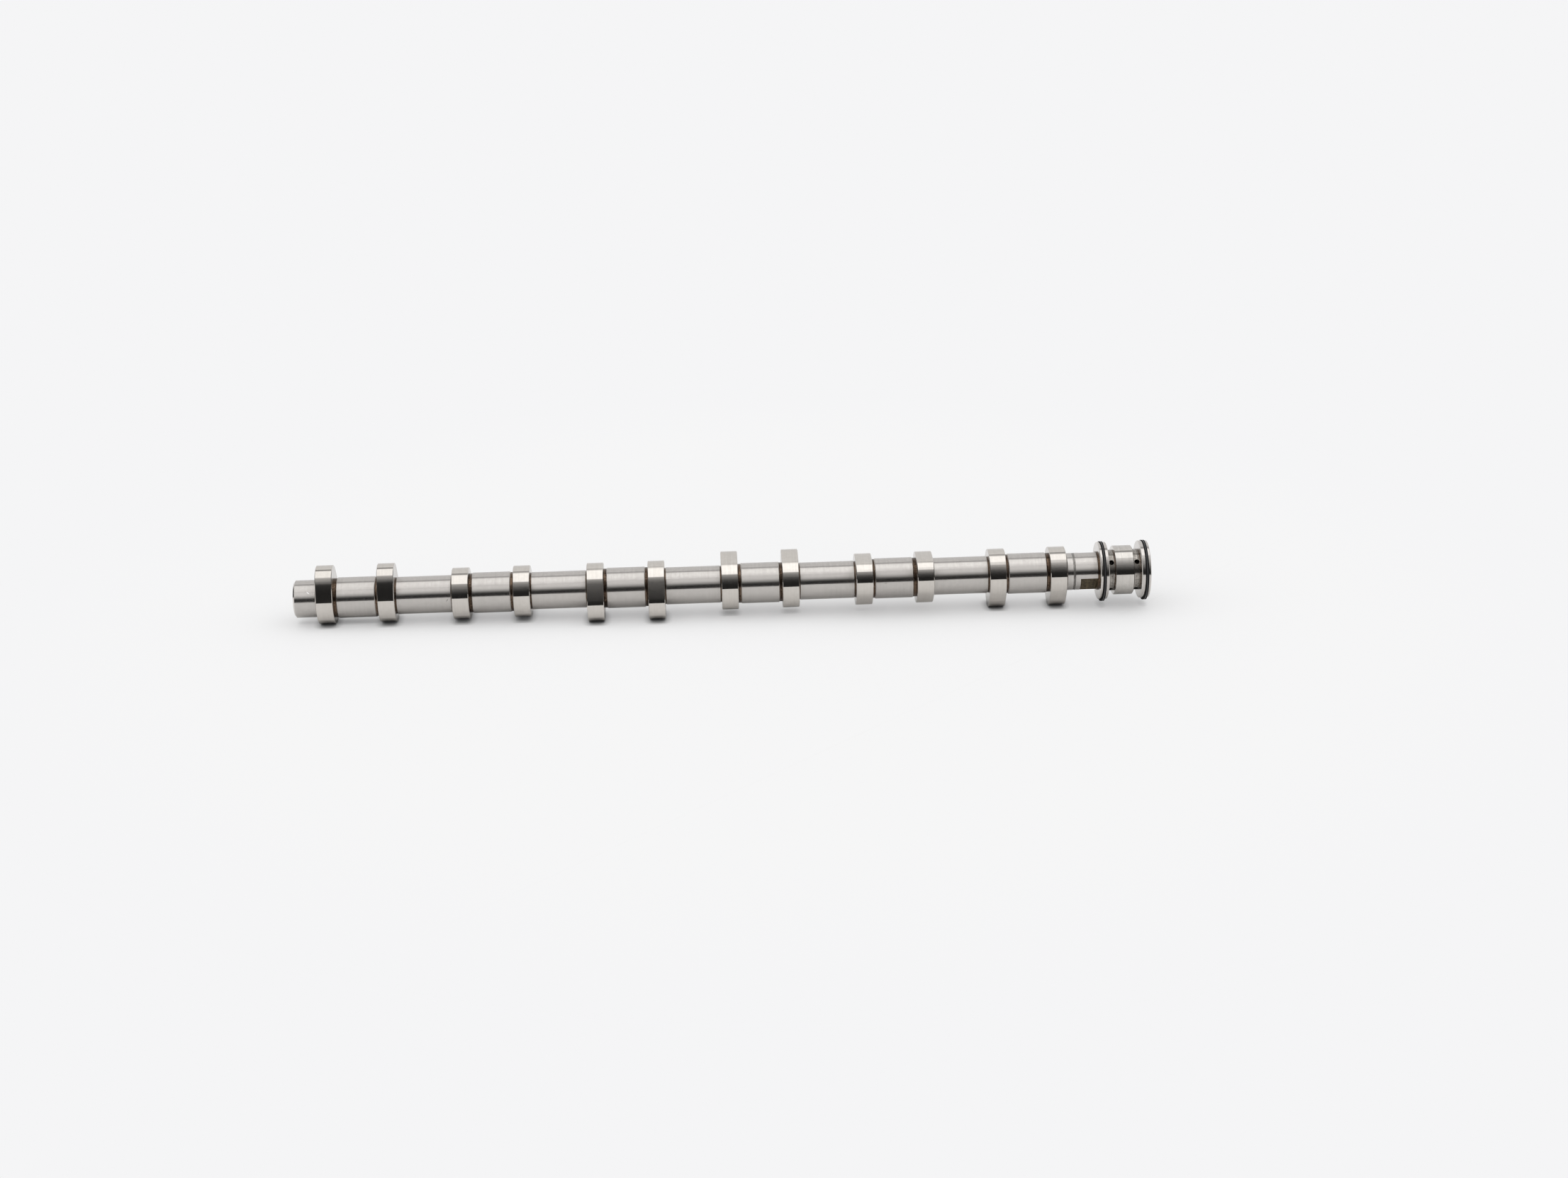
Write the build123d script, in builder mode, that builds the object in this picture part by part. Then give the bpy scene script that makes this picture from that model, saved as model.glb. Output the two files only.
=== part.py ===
from build123d import *

import os
from math import acos, atan2, cos, degrees, dist, hypot, pi, radians, sin, tan
from typing import NamedTuple

os.makedirs("parts", exist_ok=True)

# ---------------------------------------------------------------------------
# Camshaft of an in-line six: one turned, milled and ground steel body, and the
# two split seal rings that ride in the grooves of its front flanges.
#
# The shaft lies along X. Its front end face is at X = 0 and everything else is
# behind it, at negative X. Angles round the shaft run from +Z towards -Y.
# Lengths are in millimetres and angles in degrees.
# ---------------------------------------------------------------------------

# Cylinders, counted from the rear end of the shaft
cylinder_pitch = 91.0
firing_order = (1, 5, 3, 6, 2, 4)
cylinder_count = len(firing_order)
firing_step = 360 / cylinder_count

# Cam lobes, two to a cylinder, one on each side of its journal. A straight flank would leave
# the base circle at a tangent; the swell is how many degrees further round a convex one does
base_circle_diameter = 35.0
lobe_lift = 6.1
nose_radius = 13.3
flank_swell = 4.0
lobe_width = 11.3
lobe_edge = 0.3

# Journals, with an unground relief between each one and its lobes
journal_diameter = 27.6
journal_width = 26.2
journal_relief_width = 1.9
journal_relief_depth = 0.5

# Plain shaft between the cylinders, rear stub and front neck
shaft_diameter = 25.4
shaft_relief_width = 0.7
shaft_relief_depth = 0.35
stub_length = 15.2
stub_edge = 1.0
neck_length = 20.8
neck_band_offset = 4.1
neck_band_width = 1.7
neck_band_depth = 0.15

# Two wrench flats on the neck, running up to the collar
flat_across = 20.3
flat_length = 11.7
flat_clocking = 122.0

# Front end: collar, flange, oil groove, land, oil groove, flange
collar_diameter = 26.4
collar_width = 1.0
flange_diameter = 39.2
flange_edge = 0.4
rear_flange_width = 5.9
front_flange_width = 6.3
land_diameter = 33.6
land_width = 12.8
land_edge = 0.4
oil_groove_diameter = 28.0
oil_groove_width = 4.65

# Seal rings, sprung open and hanging in their grooves
ring_groove_width = 2.2
ring_groove_inset = 1.6
ring_groove_floor = 35.8
ring_side_clearance = 0.05
ring_rest_gap = 0.1
ring_free_diameter = 40.9
ring_bore_diameter = 40.0
ring_closed_gap = 0.2
ring_wall = 1.9
ring_joint_lap = 5.0
ring_joint_slit = 0.12
rear_ring_joint_angle = 215.0
front_ring_joint_angle = 262.0

# Oil ports, bolt bore and centre hole
port_count = 4
port_diameter = 3.5
port_clocking = 39.0
axial_port_circle = 21.0
axial_port_mouth = 4.0
bolt_bore_diameter = 14.0
bolt_bore_mouth = 15.6
bolt_bore_depth = 31.0
thread_core_diameter = 10.2
thread_mouth = 12.4
thread_depth = 27.0
drill_point_angle = 118.0
centre_hole_diameter = 3.15
centre_hole_mouth = 6.7
centre_hole_depth = 6.0
centre_hole_angle = 60.0

# ---------------------------------------------------------------------------
# Places along and round the shaft
# ---------------------------------------------------------------------------

base_radius = base_circle_diameter / 2
nose_offset = base_radius + lobe_lift - nose_radius
lobe_offset = journal_width / 2 + journal_relief_width
pair_half_width = lobe_offset + lobe_width
shaft_length = cylinder_pitch - 2 * pair_half_width - 2 * shaft_relief_width

front_groove_start = -front_flange_width - oil_groove_width
land_start = front_groove_start - land_width
rear_groove_start = land_start - oil_groove_width
rear_flange_start = rear_groove_start - rear_flange_width
neck_end = rear_flange_start - collar_width
front_pair_centre = neck_end - neck_length - shaft_relief_width - pair_half_width
rear_pair_centre = front_pair_centre - (cylinder_count - 1) * cylinder_pitch
rear_end = rear_pair_centre - pair_half_width - shaft_relief_width - stub_length

pair_centres = [rear_pair_centre + i * cylinder_pitch for i in range(cylinder_count)]


def lying_roll() -> float:
    """Roll at which the noses of cylinders 3 and 6 and the base circle of cylinder 1 share a floor.

    The noses of 3 and 6 point down, half a firing step either side of straight down before the
    roll. The floor is a straight line under the shaft, so cylinder 3, two pitches from cylinder 1
    and three from cylinder 6, stands at their weighted mean height.
    """
    half_step = radians(firing_step / 2)
    near = 2 / (cylinder_count - 1)
    level = (1 - near) * (base_radius - nose_radius) / nose_offset
    along = (1 - near) * cos(half_step)
    across = (1 + near) * sin(half_step)
    return degrees(acos(level / hypot(along, across)) - atan2(across, along))


first_nose_angle = firing_step / 2 - lying_roll()
nose_angles = [
    first_nose_angle + firing_step * firing_order.index(i + 1) for i in range(cylinder_count)
]
flat_angle = first_nose_angle + flat_clocking
port_angles = [first_nose_angle + port_clocking + i * 360 / port_count for i in range(port_count)]


def outward(angle: float) -> Vector:
    """Unit vector out of the shaft at an angle round it."""
    return Vector(0, -sin(radians(angle)), cos(radians(angle)))


def section_plane(x: float, angle: float) -> Plane:
    """Plane across the shaft at x, whose own X points out of the shaft at the angle."""
    return Plane(origin=(x, 0, 0), x_dir=outward(angle), z_dir=(1, 0, 0))


def radial_plane(x: float, angle: float, radius: float) -> Plane:
    """Plane that faces out of the shaft at x and the angle, at a radius from its axis."""
    direction = outward(angle)
    return Plane(origin=Vector(x, 0, 0) + direction * radius, x_dir=(1, 0, 0), z_dir=direction)


# ---------------------------------------------------------------------------
# Turned body: a row of round sections, from the rear end to the front face
# ---------------------------------------------------------------------------


same_point = 1e-6


class Section(NamedTuple):
    """A round stretch of the shaft, with a 45 degree chamfer on one or both of its edges."""

    width: float
    diameter: float
    rear_edge: float = 0.0
    front_edge: float = 0.0


relief_diameter = shaft_diameter - 2 * shaft_relief_depth
journal_relief_diameter = journal_diameter - 2 * journal_relief_depth
neck_front_length = neck_length - neck_band_offset - neck_band_width

stub = Section(stub_length, shaft_diameter, stub_edge, shaft_relief_depth)
lobe_seat = Section(lobe_width + shaft_relief_width, relief_diameter)
journal_relief = Section(journal_relief_width, journal_relief_diameter)
journal = Section(
    journal_width, journal_diameter, journal_relief_depth, journal_relief_depth
)
shaft = Section(shaft_length, shaft_diameter, shaft_relief_depth, shaft_relief_depth)
neck_rear = Section(neck_band_offset, shaft_diameter, shaft_relief_depth)
neck_band = Section(neck_band_width, shaft_diameter - 2 * neck_band_depth)
neck_front = Section(neck_front_length, shaft_diameter)
collar = Section(collar_width, collar_diameter)
oil_groove = Section(oil_groove_width, oil_groove_diameter)
land = Section(land_width, land_diameter, land_edge, land_edge)
ring_groove = Section(ring_groove_width, ring_groove_floor)
outer_lip_width = ring_groove_inset
rear_outer_lip = Section(outer_lip_width, flange_diameter, flange_edge)
rear_inner_lip = Section(
    rear_flange_width - outer_lip_width - ring_groove_width, flange_diameter, 0.0, flange_edge
)
front_inner_lip = Section(
    front_flange_width - outer_lip_width - ring_groove_width, flange_diameter, flange_edge
)
front_outer_lip = Section(outer_lip_width, flange_diameter, 0.0, flange_edge)

lobe_pair = [lobe_seat, journal_relief, journal, journal_relief, lobe_seat]
shaft_sections = [stub, *lobe_pair]
for _ in range(cylinder_count - 1):
    shaft_sections += [shaft, *lobe_pair]
front_sections = [neck_rear, neck_band, neck_front, collar]
front_sections += [rear_outer_lip, ring_groove, rear_inner_lip, oil_groove, land, oil_groove]
front_sections += [front_inner_lip, ring_groove, front_outer_lip]


def half_outline(sections: list[Section], start: float) -> list[tuple[float, float]]:
    """Points along the top of a row of sections, from the axis at one end to the axis at the other.

    A chamfer that reaches down to its neighbour's surface leaves no step, and so no second point.
    """
    corners = [(start, 0.0)]
    x = start
    for section in sections:
        radius = section.diameter / 2
        corners.append((x, radius - section.rear_edge))
        corners.append((x + section.rear_edge, radius))
        x += section.width
        corners.append((x - section.front_edge, radius))
        corners.append((x, radius - section.front_edge))
    corners.append((x, 0.0))
    points = corners[:1]
    for corner in corners[1:]:
        if dist(corner, points[-1]) > same_point:
            points.append(corner)
    return points


with BuildPart() as turned_body:
    with BuildSketch(Plane.XZ):
        with BuildLine():
            Polyline(half_outline(shaft_sections + front_sections, rear_end), close=True)
        make_face()
    revolve(axis=Axis.X)

# ---------------------------------------------------------------------------
# Cam lobes: base circle, two convex flanks tangent to it, and the nose
# ---------------------------------------------------------------------------


def lobe_profile() -> Sketch:
    """Outline of a lobe about the shaft's axis, with its nose along the sketch's X."""
    drop = base_radius - nose_radius
    opening_half_angle = degrees(acos(drop / nose_offset)) + flank_swell
    half = radians(opening_half_angle)
    flank_radius = nose_offset**2 - 2 * nose_offset * base_radius * cos(half)
    flank_radius += drop * (base_radius + nose_radius)
    flank_radius /= 2 * drop - 2 * nose_offset * cos(half)
    reach = flank_radius - base_radius
    nose_half_angle = degrees(atan2(reach * sin(half), nose_offset + reach * cos(half)))
    flank_turn = opening_half_angle - nose_half_angle
    upper_centre = (-reach * cos(half), -reach * sin(half))
    lower_centre = (-reach * cos(half), reach * sin(half))
    with BuildSketch() as profile:
        with BuildLine():
            CenterArc((nose_offset, 0), nose_radius, -nose_half_angle, 2 * nose_half_angle)
            CenterArc(upper_centre, flank_radius, nose_half_angle, flank_turn)
            CenterArc((0, 0), base_radius, opening_half_angle, 360 - 2 * opening_half_angle)
            CenterArc(lower_centre, flank_radius, -opening_half_angle, flank_turn)
        make_face()
    return profile.sketch


with BuildPart() as lobe:
    with BuildSketch(Plane.XY):
        add(lobe_profile())
    extrude(amount=lobe_width)
    chamfer(lobe.faces().filter_by(Axis.Z).edges(), length=lobe_edge)

lobe_places = []
for centre, nose_angle in zip(pair_centres, nose_angles):
    lobe_places.append(section_plane(centre - pair_half_width, nose_angle))
    lobe_places.append(section_plane(centre + lobe_offset, nose_angle))

# ---------------------------------------------------------------------------
# The camshaft: body and lobes, then the flats and the drillings
# ---------------------------------------------------------------------------

flat_cut_depth = (shaft_diameter - flat_across) / 2
oil_groove_radius = oil_groove_diameter / 2
rear_port_x = rear_groove_start + oil_groove_width / 2
front_port_x = front_groove_start + oil_groove_width / 2
rear_port_depth = oil_groove_radius
front_port_depth = oil_groove_radius - axial_port_circle / 2
axial_port_depth = port_diameter / 2 - front_port_x
rear_port_places = [radial_plane(rear_port_x, a, oil_groove_radius) for a in port_angles]
front_port_places = [radial_plane(front_port_x, a, oil_groove_radius) for a in port_angles]
front_face = section_plane(0, port_angles[0])
thread_face = section_plane(-bolt_bore_depth, port_angles[0])
rear_face = Plane(origin=(rear_end, 0, 0), z_dir=(-1, 0, 0))


def drilling(diameter: float, depth: float, mouth: float, mouth_angle: float = 90.0) -> Part:
    """Tool shape of a drilled hole down -Z, with its countersunk mouth and its drill point."""
    radius = diameter / 2
    mouth_depth = (mouth - diameter) / 2 / tan(radians(mouth_angle / 2))
    point_depth = depth + radius / tan(radians(drill_point_angle / 2))
    with BuildPart() as tool:
        with BuildSketch(Plane.XZ):
            with BuildLine():
                Polyline(
                    (0, 0),
                    (mouth / 2, 0),
                    (radius, -mouth_depth),
                    (radius, -depth),
                    (0, -point_depth),
                    close=True,
                )
            make_face()
        revolve(axis=Axis.Z)
    return tool.part


axial_port = drilling(port_diameter, axial_port_depth, axial_port_mouth)
thread_core = drilling(thread_core_diameter, thread_depth, thread_mouth)
bolt_bore = drilling(bolt_bore_diameter, bolt_bore_depth, bolt_bore_mouth)
centre_hole = drilling(
    centre_hole_diameter, centre_hole_depth, centre_hole_mouth, centre_hole_angle
)

with BuildPart() as camshaft:
    add(turned_body.part)
    with Locations(*lobe_places):
        add(lobe.part)

    # Wrench flats
    with BuildSketch(section_plane(neck_end - flat_length, flat_angle)):
        with PolarLocations((flat_across + flat_cut_depth) / 2, 2):
            Rectangle(flat_cut_depth, shaft_diameter)
    extrude(amount=flat_length, mode=Mode.SUBTRACT)

    # Bolt bore in the front face, with the core of its thread behind it
    with Locations(front_face):
        add(bolt_bore, mode=Mode.SUBTRACT)
    with Locations(thread_face):
        add(thread_core, mode=Mode.SUBTRACT)

    # The rear oil groove's ports run in to the middle of the bolt bore
    with Locations(*rear_port_places):
        Hole(port_diameter / 2, rear_port_depth)

    # The front oil groove's ports meet blind drillings from the front face
    with Locations(*front_port_places):
        Hole(port_diameter / 2, front_port_depth)
    with Locations(front_face):
        with PolarLocations(axial_port_circle / 2, port_count):
            add(axial_port, mode=Mode.SUBTRACT)

    # Lathe centre in the rear end
    with Locations(rear_face):
        add(centre_hole, mode=Mode.SUBTRACT)

camshaft.part.label = "camshaft"
export_step(camshaft.part, "parts/camshaft.step")

# ---------------------------------------------------------------------------
# Seal rings: square section, split by a lapped joint, hanging in their grooves
# ---------------------------------------------------------------------------

ring_inner_radius = ring_free_diameter / 2 - ring_wall
ring_sag = ring_inner_radius - ring_groove_floor / 2 - ring_rest_gap
ring_width = ring_groove_width - 2 * ring_side_clearance
ring_joint_gap = ring_closed_gap + pi * (ring_free_diameter - ring_bore_diameter)


def seal_ring(groove_start: float, joint_angle: float) -> Part:
    """A split ring in the groove that starts at groove_start, its joint at an angle round it."""
    start = groove_start + ring_side_clearance
    centre = Vector(start + ring_width / 2, 0, -ring_sag)
    direction = outward(joint_angle)
    joint_centre = centre + direction * (ring_inner_radius + ring_wall / 2)
    tangent = Vector(1, 0, 0).cross(direction)
    joint_plane = Plane(origin=joint_centre, x_dir=tangent, z_dir=direction)
    gap_offset = (ring_joint_lap + ring_joint_gap) / 2
    half_width = ring_width / 2
    with BuildPart() as ring:
        with BuildSketch(Plane.YZ.offset(start)):
            with Locations((0, -ring_sag)):
                Circle(ring_free_diameter / 2)
                Circle(ring_inner_radius, mode=Mode.SUBTRACT)
        extrude(amount=ring_width)
        with BuildSketch(joint_plane):
            Rectangle(ring_joint_lap + ring_joint_gap, ring_joint_slit)
            with Locations((-gap_offset, half_width / 2), (gap_offset, -half_width / 2)):
                Rectangle(ring_joint_gap, half_width + ring_joint_slit)
        extrude(amount=ring_wall, both=True, mode=Mode.SUBTRACT)
    return ring.part


rear_ring_groove_start = rear_flange_start + ring_groove_inset
front_ring_groove_start = -ring_groove_inset - ring_groove_width

rear_seal_ring = seal_ring(rear_ring_groove_start, rear_ring_joint_angle)
rear_seal_ring.label = "rear_seal_ring"
export_step(rear_seal_ring, "parts/rear_seal_ring.step")

front_seal_ring = seal_ring(front_ring_groove_start, front_ring_joint_angle)
front_seal_ring.label = "front_seal_ring"
export_step(front_seal_ring, "parts/front_seal_ring.step")
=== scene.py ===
"""Looks of an in-line six's camshaft: ground steel, brown strips and black seal rings.

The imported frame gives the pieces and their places. The camshaft is modelled again here as one smooth
body of the same sizes, so that its ground surfaces reflect cleanly. Sizes are in millimetres, and
angles round the shaft are in degrees from +Z towards -Y.
"""

import logging
import math
from contextlib import contextmanager
from dataclasses import dataclass
from enum import Enum
from typing import Callable, Iterator, Sequence

import bpy
from mathutils import Matrix, Vector


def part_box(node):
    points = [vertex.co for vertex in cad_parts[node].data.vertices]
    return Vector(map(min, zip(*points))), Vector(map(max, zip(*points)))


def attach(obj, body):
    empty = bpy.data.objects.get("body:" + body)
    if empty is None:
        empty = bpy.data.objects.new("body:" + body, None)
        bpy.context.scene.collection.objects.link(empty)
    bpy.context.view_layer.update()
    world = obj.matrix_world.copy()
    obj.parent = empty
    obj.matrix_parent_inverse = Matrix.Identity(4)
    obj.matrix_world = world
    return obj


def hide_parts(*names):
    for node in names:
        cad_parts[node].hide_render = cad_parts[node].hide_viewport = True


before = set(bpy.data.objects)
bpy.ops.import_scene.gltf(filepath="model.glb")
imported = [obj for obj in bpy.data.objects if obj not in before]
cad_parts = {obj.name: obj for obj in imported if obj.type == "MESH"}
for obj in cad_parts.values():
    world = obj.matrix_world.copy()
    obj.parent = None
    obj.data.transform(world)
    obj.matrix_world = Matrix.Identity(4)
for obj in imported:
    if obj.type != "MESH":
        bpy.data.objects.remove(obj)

log = logging.getLogger("camshaft")

MM = 0.001
# Places nearer to each other than this are one
SAME_PLACE = 1e-6
ROOT = "root"

# How far a face's normal may lean along the shaft on a round surface, and must on a side. Between
# the two is a chamfer
ROUND_LEAN = 0.1
SIDE_LEAN = 0.9

# Turns from the tangent round the shaft to the direction that turning and grinding blur, along it
BLUR_TURN = 0.25
NOISE_DETAIL = 3.0

# The room's angles run from straight down in front, over the top, to straight down behind
FIRST_ANGLE = -90.0
LAST_ANGLE = 270.0

Tree = bpy.types.NodeTree
Socket = bpy.types.NodeSocket
Piece = bpy.types.Object
Material = bpy.types.Material
Face = bpy.types.MeshPolygon

Colour = tuple[float, float, float, float]
Point = tuple[float, float]
Row = tuple[Point, ...]
Window = tuple[float, float, float]


# --- Small helpers ---


def linear(hex_colour: str) -> Colour:
    """Turn an sRGB hex colour into the linear values that Blender's sockets hold.

    Args:
        hex_colour: Six hex digits, such as "c8beb7".

    Returns:
        Red, green, blue and an alpha of one.
    """
    channels = [int(hex_colour[i : i + 2], 16) / 255 for i in (0, 2, 4)]
    red, green, blue = (c / 12.92 if c <= 0.04045 else ((c + 0.055) / 1.055) ** 2.4 for c in channels)
    return red, green, blue, 1.0


def node(tree: Tree, kind: str, inputs: dict | None = None, **settings: object) -> bpy.types.Node:
    """Add a node to a tree, with its settings and its inputs.

    Args:
        tree: The node tree that gets the node.
        kind: The node's type, without the leading "ShaderNode".
        inputs: Socket name or number to a value, or to an output socket that is linked to it.
        settings: The node's own properties.

    Returns:
        The new node.
    """
    made = tree.nodes.new("ShaderNode" + kind)
    for name, value in settings.items():
        setattr(made, name, value)
    for name, value in (inputs or {}).items():
        if isinstance(value, Socket):
            tree.links.new(value, made.inputs[name])
        else:
            made.inputs[name].default_value = value
    return made


def blank_material(name: str) -> tuple[Material, Tree]:
    """Make a material with no nodes in it.

    Args:
        name: The material's name.

    Returns:
        The material and its empty node tree.
    """
    made = bpy.data.materials.new(name)
    made.use_nodes = True
    made.node_tree.nodes.clear()
    return made, made.node_tree


def distance_from(tree: Tree, value: Socket, middle: float) -> Socket:
    """How far a value lies from a middle, on either side of it."""
    aside = node(tree, "Math", {0: value, 1: middle}, operation="SUBTRACT").outputs[0]
    return node(tree, "Math", {0: aside}, operation="ABSOLUTE").outputs[0]


def deselect() -> None:
    """Leave no object selected."""
    bpy.ops.object.select_all(action="DESELECT")


def make_active(piece: Piece) -> None:
    """Select one object alone and make it the active one.

    Args:
        piece: The object.
    """
    deselect()
    piece.select_set(True)
    bpy.context.view_layer.objects.active = piece


@contextmanager
def editing(piece: Piece) -> Iterator[None]:
    """Edit one object's mesh, and go back to object mode afterwards.

    Args:
        piece: The object to edit.
    """
    make_active(piece)
    bpy.ops.object.mode_set(mode="EDIT")
    yield
    bpy.ops.object.mode_set(mode="OBJECT")


def settle(piece: Piece) -> None:
    """Put a piece's place into its mesh, so that its object sits unturned at the origin."""
    make_active(piece)
    bpy.ops.object.transform_apply(location=True, rotation=True, scale=True)


def join(pieces: Sequence[Piece]) -> Piece:
    """Join objects into one.

    Args:
        pieces: The objects. The first one keeps its name.

    Returns:
        The joined object.
    """
    deselect()
    for piece in pieces:
        piece.select_set(True)
    bpy.context.view_layer.objects.active = pieces[0]
    bpy.ops.object.join()
    return pieces[0]


def copy_of(piece: Piece) -> Piece:
    """Copy a piece with its mesh.

    Args:
        piece: The piece.

    Returns:
        The copy.
    """
    make_active(piece)
    bpy.ops.object.duplicate()
    return bpy.context.object


class Cut(Enum):
    """How one solid is worked into another."""

    ADD = "UNION"
    REMOVE = "DIFFERENCE"


def work(piece: Piece, tool: Piece, cut: Cut) -> None:
    """Add a solid to a piece or cut it away, and delete the solid.

    Args:
        piece: The object that is changed.
        tool: The solid that is added or cut away.
        cut: Which of the two.
    """
    make_active(piece)
    bpy.ops.object.modifier_add(type="BOOLEAN")
    modifier = piece.modifiers[-1]
    modifier.operation = cut.value
    modifier.solver = "EXACT"
    modifier.object = tool
    bpy.ops.object.modifier_apply(modifier=modifier.name)
    bpy.data.objects.remove(tool)


def outward(angle: float) -> Vector:
    """Unit vector out of the shaft at an angle round it."""
    return Vector((0, -math.sin(math.radians(angle)), math.cos(math.radians(angle))))


def turned(name: str, outline: Sequence[Point], facets: int) -> Piece:
    """Turn a solid about the X axis: a disc is extruded and resized from point to point.

    Args:
        name: The object's name.
        outline: Places along the axis and radii, from one end to the other.
        facets: How many sides each circle has.

    Returns:
        The solid, closed by a disc at each end.
    """
    (x, radius), *rest = outline
    deselect()
    bpy.ops.mesh.primitive_circle_add(
        vertices=facets,
        radius=radius * MM,
        fill_type="NGON",
        location=(x * MM, 0, 0),
        rotation=(0, math.radians(90), 0),
    )
    solid = bpy.context.object
    solid.name = name
    settle(solid)
    with editing(solid):
        bpy.ops.mesh.select_all(action="SELECT")
        for next_x, next_radius in rest:
            scale = next_radius / radius
            move = {"value": ((next_x - x) * MM, 0, 0)}
            bpy.ops.mesh.extrude_region_move(TRANSFORM_OT_translate=move)
            bpy.ops.transform.resize(value=(1, scale, scale), center_override=(next_x * MM, 0, 0))
            x, radius = next_x, next_radius
        bpy.ops.mesh.select_all(action="SELECT")
        bpy.ops.mesh.normals_make_consistent(inside=False)
    return solid


def lay_radially(piece: Piece, x: float, angle: float) -> None:
    """Turn a piece that lies along +X so that it points out of the shaft.

    Args:
        piece: The object, whose own origin goes to the shaft's axis.
        x: Its place along the shaft.
        angle: Its angle round the shaft.
    """
    turn = outward(angle).to_track_quat("X", "Z").to_matrix().to_4x4()
    piece.matrix_world = Matrix.Translation((x * MM, 0, 0)) @ turn
    settle(piece)


# --- Finishes ---


@dataclass(frozen=True)
class Mark:
    """A scratch, nick or stain on a round surface: an oval patch of another colour.

    Lengths are in millimetres. The lean turns the patch's long axis away from the shaft's.
    """

    x: float
    angle: float
    radius: float
    length: float
    width: float
    lean: float
    colour: str
    core: float = 0.6

    def mask(self, tree: Tree) -> Socket:
        """Where the mark is.

        Args:
            tree: The material's node tree.

        Returns:
            1 in the mark's core and 0 outside it.
        """
        coordinates = node(tree, "TexCoord").outputs["Object"]
        upright = Matrix.Rotation(math.radians(self.angle), 3, "X")
        turn = upright @ Matrix.Rotation(math.radians(self.lean), 3, "Z")
        place = {
            "Vector": coordinates,
            "Location": Vector((self.x * MM, 0, 0)) + outward(self.angle) * self.radius * MM,
            "Rotation": turn.to_euler(),
            "Scale": Vector((self.length, self.width, self.length)) / 2 * MM,
        }
        placed = node(tree, "Mapping", place, vector_type="TEXTURE").outputs["Vector"]
        away = node(tree, "VectorMath", {0: placed}, operation="LENGTH").outputs["Value"]
        return node(tree, "MapRange", {"Value": away, "From Min": 1.0, "From Max": self.core}).outputs[0]


@dataclass(frozen=True)
class Steel:
    """A worked steel surface: fine lines round the shaft over a mottled grain.

    The colours are the metal's own, apart from the painted shade and painted highlight that some
    finishes carry, and the pattern's lengths are in millimetres. Real grinding and turning lines lie
    under 0.2 mm apart, too fine to show, so they are drawn wider than they are.
    """

    name: str
    pale: str = "cdcac7"
    dark: str = "bfbab6"
    spread: float = 0.3
    roughness: float = 0.2
    roughness_range: float = 0.02
    anisotropy: float = 0.5
    line_width: float = 0.9
    line_length: float = 40.0
    line_depth: float = 0.0004
    grain_width: float = 2.5
    grain_depth: float = 0.0005
    marks: tuple[Mark, ...] = ()

    def noise(self, tree: Tree, along: float, across: float) -> Socket:
        """A noise of its own cell size along the shaft and across it.

        Args:
            tree: The material's node tree.
            along: Size of a cell along the shaft.
            across: Size of a cell across the shaft.

        Returns:
            The noise, which lies about 0.5.
        """
        coordinates = node(tree, "TexCoord").outputs["Object"]
        scale = (1 / (along * MM), 1 / (across * MM), 1 / (across * MM))
        placed = node(tree, "Mapping", {"Vector": coordinates, "Scale": scale}).outputs["Vector"]
        cells = {"Vector": placed, "Scale": 1.0, "Detail": NOISE_DETAIL}
        return node(tree, "TexNoise", cells).outputs["Fac"]

    def material(self) -> Material:
        """Build the finish's material.

        Returns:
            The material.
        """
        made, tree = blank_material(self.name)
        lines = self.noise(tree, self.line_width, self.line_length)
        grain = self.noise(tree, self.grain_width, self.grain_width)
        mixed = node(tree, "Math", {0: lines, 1: grain}, operation="ADD").outputs[0]
        limits = {"Value": mixed, "From Min": 1 - self.spread, "From Max": 1 + self.spread}
        share = node(tree, "MapRange", limits).outputs["Result"]
        blend = {"Factor": share, "A": linear(self.dark), "B": linear(self.pale)}
        colour = node(tree, "Mix", blend, data_type="RGBA").outputs["Result"]
        for mark in self.marks:
            blend = {"Factor": mark.mask(tree), "A": colour, "B": linear(mark.colour)}
            colour = node(tree, "Mix", blend, data_type="RGBA").outputs["Result"]
        half = self.roughness_range / 2
        ends = {"To Min": self.roughness + half, "To Max": self.roughness - half}
        rough = node(tree, "MapRange", {**limits, **ends}).outputs["Result"]
        grained = node(tree, "Bump", {"Height": grain, "Distance": self.grain_depth * MM}).outputs["Normal"]
        relief = {"Height": lines, "Distance": self.line_depth * MM, "Normal": grained}
        lined = node(tree, "Bump", relief).outputs["Normal"]
        round_shaft = node(tree, "Tangent", direction_type="RADIAL", axis="X").outputs["Tangent"]
        shader = node(
            tree,
            "BsdfPrincipled",
            {
                "Metallic": 1.0,
                "Anisotropic": self.anisotropy,
                "Anisotropic Rotation": BLUR_TURN,
                "Base Color": colour,
                "Roughness": rough,
                "Normal": lined,
                "Tangent": round_shaft,
            },
        )
        node(tree, "OutputMaterial", {"Surface": shader.outputs["BSDF"]})
        return made


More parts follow.
